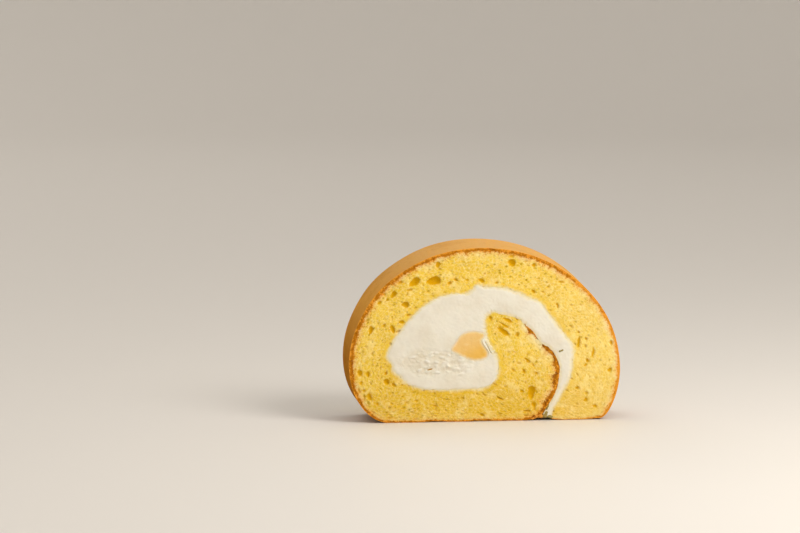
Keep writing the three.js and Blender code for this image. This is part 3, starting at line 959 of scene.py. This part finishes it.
def skin_layers(w, colours, where, sheet, patchy):
    """The browned skin's colour and the heights of its bumps: tan on top, orange half-way down, an
    orange painted glow along both cut edges, deep brown below, partly its own browning and partly
    painted shade, with streaks through the slice, patches and pinholes."""
    _, through, height = w.axes(where)
    streaks = w.noise(w.stretched(sheet, (1, 1, 0.12)), 420, 3, 0.6)
    clouds = w.noise(where, 60, 3, 0.55)
    low = w.ramp(height, 0.018, 0.05, 1, 0)
    mottled = w.maths("ADD", w.ramp(clouds, 0.5, 0.3, 0, 0.22), w.ramp(patchy, 0.05, 0.6, 0, 0.3))
    pinholes = w.times(w.dots(where, 420, core=0.06, edge=0.2, share=0.35), 0.45)
    baked = w.layered(
        colours.crust_orange_and_glow,
        # Painted shade: deeper brown towards the bottom, partly the skin's own browning and partly shade
        # low on the sides.
        (w.maths("ADD", low, w.ramp(clouds, 0.45, 0.75, 0, 0.15), clamp=True), colours.crust_brown_and_shade),
        (w.ramp(height, 0.042, 0.064), colours.crust),
        (w.ramp(streaks, 0.45, 0.8, 0, 0.3), colours.crust_orange_and_glow),
        # Painted glow: orange along both cut edges, for light shining through the thin skin.
        (w.ramp(w.maths("ABSOLUTE", through), 0.0085, 0.0112, 0, 0.7), colours.crust_orange_and_glow),
        (w.maths("ADD", mottled, pinholes, clamp=True), colours.crust_brown_and_shade)
    )
    return baked, w.maths("SUBTRACT", w.maths("ADD", streaks, patchy), pinholes)


def cream_material(colours):
    """Whipped cream: warm white with faint clouds and a few specks, with painted shade, yellower, in
    the hollows of the rough patch, with crumb in its edge and custard smeared round the core."""
    material, w, surface, where = new_material(
        "Whipped cream", Roughness=0.55, Subsurface_Weight=0.25, Subsurface_Radius=(1, 0.8, 0.55),
        Subsurface_Scale=0.001, Specular_IOR_Level=0.2
    )
    torn = w.attribute("rough_patch")
    stand = w.attribute("stand")
    grain = w.grain(where, 800, 0.65)
    specks = w.times(w.dots(where, 420, core=0.03, edge=0.12, share=0.5, along=0.7), 0.4)
    # Painted shade: the rough patch turns yellower where its face lies lower, in its hollows.
    hollow = w.ramp(w.times(grain, 0.1, stand), -0.16, 0.06, 0.85, 0)
    edge = w.times(grain, 0.8, w.attribute("rim"))
    smeared = w.times(grain, 0.35, w.attribute("from_custard"))
    colour = w.layered(
        colours.cream, (w.ramp(w.noise(where, 130, 3), 0.35, 0.7), colours.cream_shade),
        (specks, colours.cream_speck_and_shade), (w.times(torn, hollow), colours.cream_speck_and_shade),
        (w.ramp(stand, -0.9, -0.35, 0.9, 0), colours.cream_crack),
        (w.ramp(edge, 0.2, 1.3, 0.8, 0), colours.cream_edge),
        (w.ramp(smeared, -0.1, 0.5, 0.45, 0), colours.custard)
    )
    normal = w.bump(w.times(grain, w.times(torn, 0.5, 0.2)), 0.0002, 0.8)
    w.join(surface, {"Base Color": colour, "Normal": normal})
    return material


def crumb_material(colours):
    """Loose crumbs, olive or brown, mottled all over."""
    material, w, surface, where = new_material("Loose crumbs", Roughness=0.9)
    brown = w.attribute("brown")
    mottle = w.grain(where, 1400)
    dark = w.times(w.ramp(mottle, -0.2, 0.4, 0, 0.9), w.maths("ADD", brown, 0.15, clamp=True))
    colour = w.layered(colours.crumb_olive, (brown, colours.crust_line), (dark, colours.crust_dark))
    w.join(surface, {"Base Color": colour, "Normal": w.bump(mottle, 0.0001, 0.8)})
    return material


def custard_material(colours):
    """Smooth custard, more orange low on the right, streaked with paler smears, its rim blended with
    cream."""
    material, w, surface, where = new_material(
        "Custard", Roughness=0.5, Subsurface_Weight=0.3, Subsurface_Radius=(1, 0.6, 0.25),
        Subsurface_Scale=0.0012
    )
    sideways, _, height = w.axes(where)
    falls = w.maths("SUBTRACT", w.times(sideways, 0.5), height)
    falls = w.times(w.noise(where, 160, 2), 0.006, falls)
    smears = w.noise(w.stretched(where, (0.6, 1, 1.4)), 420, 3, 0.6)
    grain = w.grain(where, 800, 0.65)
    edge = w.times(grain, 0.45, w.attribute("rim"))
    colour = w.layered(
        colours.custard, (w.ramp(falls, -0.032, -0.022), colours.custard_deep),
        (w.ramp(smears, 0.5, 0.75, 0, 0.45), colours.custard_pale),
        (w.ramp(edge, 0, 1.3, 0.85, 0), colours.custard_pale),
        (w.ramp(edge, -0.1, 0.55, 0.75, 0), colours.cream_shade)
    )
    normal = w.bump(w.maths("ADD", grain, smears), 0.0001, 0.6)
    w.join(surface, {"Base Color": colour, "Normal": normal})
    return material


# ---- Stage ----

# Where the camera stands, in metres, and how far it is turned sideways and down, in degrees.
CAMERA_PLACE = (-0.151, -1.0886, 0.1801)
CAMERA_YAW = 6.33
CAMERA_PITCH = 6.446
LENS_MM = 135
SENSOR_MM = 36
# The floor is flat up to a radius, bends up over another and goes on as a wall up to a height.
FLOOR_RADIUS = 1.5
BEND_RADIUS = 0.8
WALL_TOP = 2.6
LIGHTS_AIM = (0, 0, 0.03)


def make_stage(settings):
    """A round pale floor that curves up into a wall all round, a soft light high on the right, a wide
    one overhead, weak ones on the left and behind, and the camera. The floor is a profile of radius
    and height turned about the z axis."""
    bend = np.linspace(0.1, np.pi / 2, 14)
    flat = np.linspace(0, FLOOR_RADIUS, 12)
    profile_r = np.hstack([flat, FLOOR_RADIUS + BEND_RADIUS * np.sin(bend), FLOOR_RADIUS + BEND_RADIUS])
    profile_z = np.hstack([0 * flat, BEND_RADIUS * (1 - np.cos(bend)), WALL_TOP])
    turns = np.linspace(0, 2 * np.pi, 96, endpoint=False)
    x, y = np.outer(profile_r[1:], np.cos(turns)), np.outer(profile_r[1:], np.sin(turns))
    z = np.repeat(profile_z[1:, None], len(turns), axis=1)
    points = np.vstack([np.stack([x, y, z], axis=-1).reshape(-1, 3), [[0, 0, 0]]])
    ids, after, wall = tube_wall(*x.shape)
    middle = [(x.size, a, b) for a, b in zip(ids[0].tolist(), after[0].tolist())]
    mesh = bpy.data.meshes.new("stage_floor")
    mesh.from_pydata(points.tolist(), [], wall.tolist() + middle)
    mesh.shade_smooth()
    mesh.materials.append(new_material("Floor", Roughness=0.6, Base_Color=settings.floor)[0])
    floor = add_object("stage_floor", mesh)

    add_light("key_light", (0.31, -0.3, 0.38), 0.26, settings.key_power, settings.key_colour)
    add_light("ceiling_light", (0, 0.3, 1.9), 2.4, settings.ceiling_power, settings.fill_colour)
    add_light("fill_light", (-0.5, -0.9, 0.45), 0.7, settings.fill_power, settings.fill_colour)
    add_light("back_light", (-0.8, 1.5, 0.9), 0.9, settings.back_power, settings.fill_colour)
    world = bpy.data.worlds.new("Room")
    bpy.context.scene.world = world
    world.use_nodes = True
    background = world.node_tree.nodes["Background"]
    background.inputs[0].default_value = (*settings.room, 1)
    background.inputs[1].default_value = settings.room_strength

    camera = add_object("camera", bpy.data.cameras.new("camera"))
    camera.data.lens = LENS_MM
    camera.data.sensor_width = SENSOR_MM
    camera.location = CAMERA_PLACE
    camera.rotation_euler = (math.radians(90 - CAMERA_PITCH), 0, -math.radians(CAMERA_YAW))
    bpy.context.scene.camera = camera
    bpy.context.scene.view_settings.view_transform = "Standard"


def add_light(name, place, size, power, colour):
    """A square area light that faces the slice."""
    light = bpy.data.lights.new(name, "AREA")
    light.size = size
    light.energy = power
    light.color = colour
    lamp = add_object(name, light)
    lamp.location = place
    aim = Vector(LIGHTS_AIM) - lamp.location
    lamp.rotation_euler = aim.to_track_quat("-Z", "Y").to_euler()


# ---- Add-on ----


def colour_property(name, description, default):
    return bpy.props.FloatVectorProperty(
        name=name, description=description, default=default, subtype="COLOR", size=3, min=0, max=1
    )


def power_property(name, description, default):
    return bpy.props.FloatProperty(
        name=name, description=description, default=default, unit="POWER", min=0
    )


class CakeColours(bpy.types.PropertyGroup):
    """Colours of the slice."""

    crumb: colour_property("Crumb", "Yellow of the sponge", (0.88, 0.605, 0.07))
    # Painted shade: deeper yellow in patches, and darker towards the bottom of the face.
    crumb_deep_and_shade: colour_property("Deep crumb", "Denser sponge low down", (0.77, 0.49, 0.033))
    # Also the painted highlights on the cell walls, and painted light on the right side of the face.
    crumb_light: colour_property("Light crumb", "Cell walls that catch the light", (0.98, 0.81, 0.37))
    crumb_pale: colour_property("Pale rim", "Paler sponge under the skin", (0.87, 0.76, 0.47))
    # Painted shade inside the fine pores.
    pore_shade: colour_property("Pore", "Inside of the fine pores", (0.50, 0.30, 0.01))
    # Painted shade inside the opened bubbles.
    bubble: colour_property("Bubble", "Inside of the opened bubbles", (0.69, 0.375, 0.001))
    cream_edge: colour_property("Creamy edge", "Where cream and sponge mix", (0.85, 0.74, 0.46))
    crumb_olive: colour_property("Olive crumb", "Loose olive crumbs", (0.30, 0.26, 0.075))
    crust: colour_property("Crust", "Browned skin on top", (0.66, 0.36, 0.11))
    # Partly the skin's own brown and partly painted shade low on the sides.
    crust_brown_and_shade: colour_property("Crust side", "Browned skin down the sides", (0.40, 0.145, 0.004))
    # Also the painted glow of light through the thin skin along both cut edges.
    crust_orange_and_glow: colour_property("Crust edge", "Orange half-way down the skin", (0.75, 0.355, 0.06))
    crust_line: colour_property("Crust line", "Cut edge of the skin", (0.80, 0.335, 0.033))
    crust_dark: colour_property("Dark crust line", "Darkest parts of the cut edge", (0.47, 0.165, 0.006))
    crust_dots: colour_property("Crust dots", "Loose brown dots under the skin", (0.64, 0.27, 0.02))
    crust_burnt: colour_property("Burnt crust", "Darkest spots of the rolled-in skin", (0.27, 0.08, 0.004))
    cream: colour_property("Cream", "Whipped cream", (0.84, 0.81, 0.71))
    cream_shade: colour_property("Cream shade", "Faint clouds in the cream", (0.79, 0.745, 0.63))
    # The colour of the specks, and painted shade in the hollows of the rough patch.
    cream_speck_and_shade: colour_property("Torn cream", "Hollows where the knife dragged it", (0.77, 0.71, 0.57))
    cream_crack: colour_property("Cream crack", "Inside of the crack", (0.56, 0.38, 0.19))
    custard: colour_property("Custard", "Core of custard", (0.865, 0.577, 0.205))
    custard_deep: colour_property("Deep custard", "More orange part of the custard", (0.84, 0.50, 0.08))
    custard_pale: colour_property("Pale custard", "Smears of cream in the custard", (0.90, 0.72, 0.42))


class CakeSizes(bpy.types.PropertyGroup):
    """Sizes of the slice's surfaces."""

    skin_swell: bpy.props.FloatProperty(
        name="Skin swell", description="Height of the gentle waves of the skin", default=0.00009, min=0,
        max=0.0005, precision=5, unit="LENGTH"
    )
    cream_stand: bpy.props.FloatProperty(
        name="Cream stand", description="How far the cream stands out of the cut", default=0.00006, min=0,
        max=0.0003, precision=5, unit="LENGTH"
    )
    bubble_depth: bpy.props.FloatProperty(
        name="Bubble depth", description="Depth of the opened bubbles, as a share of their width",
        default=0.36, min=0.1, max=1, subtype="FACTOR"
    )
    crust_depth: bpy.props.FloatProperty(
        name="Crust depth", description="How deep the brown reaches, as a share of the usual",
        default=1, min=0.3, max=2, subtype="FACTOR"
    )


class StageSettings(bpy.types.PropertyGroup):
    """Floor, lights and room."""

    floor: colour_property("Floor", "Plain pale floor", (0.74, 0.712, 0.672))
    key_colour: colour_property("Key colour", "Colour of the main light", (1.0, 0.95, 0.88))
    fill_colour: colour_property("Fill colour", "Colour of the weaker lights", (1.0, 0.955, 0.90))
    room: colour_property("Room", "Light of the room", (1.0, 0.96, 0.91))
    key_power: power_property("Key power", "Power of the main light", 2.2)
    fill_power: power_property("Fill power", "Power of the weaker light", 0.6)
    back_power: power_property("Back power", "Power of the weak light behind", 2.7)
    ceiling_power: power_property("Ceiling power", "Power of the wide light overhead", 12)
    room_strength: bpy.props.FloatProperty(
        name="Room strength", description="Brightness of the room", default=0.54, min=0
    )


class CAKE_OT_sponge(bpy.types.Operator):
    """Builds the rolled sheet of sponge with its browned skin."""

    bl_idname = "cake.sponge"
    bl_label = "Sponge roll"

    def execute(self, context):
        make_sponge(context.scene.cake_colours, context.scene.cake_sizes)
        return {"FINISHED"}


class CAKE_OT_cream(bpy.types.Operator):
    """Builds the whipped cream between the turns of the sheet."""

    bl_idname = "cake.cream"
    bl_label = "Whipped cream"

    def execute(self, context):
        make_cream(context.scene.cake_colours, context.scene.cake_sizes)
        return {"FINISHED"}


class CAKE_OT_custard(bpy.types.Operator):
    """Builds the core of custard."""

    bl_idname = "cake.custard"
    bl_label = "Custard core"

    def execute(self, context):
        make_custard(context.scene.cake_colours)
        return {"FINISHED"}


class CAKE_OT_crumbs(bpy.types.Operator):
    """Builds the loose crumbs on the front face."""

    bl_idname = "cake.crumbs"
    bl_label = "Loose crumbs"

    def execute(self, context):
        make_crumbs(context.scene.cake_colours)
        return {"FINISHED"}


class CAKE_OT_stage(bpy.types.Operator):
    """Builds the floor, the lights and the camera."""

    bl_idname = "cake.stage"
    bl_label = "Stage"

    def execute(self, context):
        make_stage(context.scene.cake_stage)
        return {"FINISHED"}


class CAKE_PT_panel(bpy.types.Panel):
    """Lists the builders of the slice."""

    bl_label = "Swiss Roll Slice"
    bl_idname = "CAKE_PT_panel"
    bl_space_type = "VIEW_3D"
    bl_region_type = "UI"
    bl_category = "Cake"

    def draw(self, context):
        for operator in OPERATORS:
            self.layout.operator(operator.bl_idname)


OPERATORS = (CAKE_OT_sponge, CAKE_OT_cream, CAKE_OT_custard, CAKE_OT_crumbs, CAKE_OT_stage)
CLASSES = (CakeColours, CakeSizes, StageSettings, *OPERATORS, CAKE_PT_panel)


def register():
    for cls in CLASSES:
        bpy.utils.register_class(cls)
    bpy.types.Scene.cake_colours = bpy.props.PointerProperty(type=CakeColours)
    bpy.types.Scene.cake_sizes = bpy.props.PointerProperty(type=CakeSizes)
    bpy.types.Scene.cake_stage = bpy.props.PointerProperty(type=StageSettings)


def unregister():
    del bpy.types.Scene.cake_stage
    del bpy.types.Scene.cake_sizes
    del bpy.types.Scene.cake_colours
    for cls in reversed(CLASSES):
        bpy.utils.unregister_class(cls)


def main():
    """Builds every piece and the stage."""
    register()
    bpy.ops.cake.sponge()
    bpy.ops.cake.cream()
    bpy.ops.cake.custard()
    bpy.ops.cake.crumbs()
    bpy.ops.cake.stage()


if __name__ == "__main__":
    main()
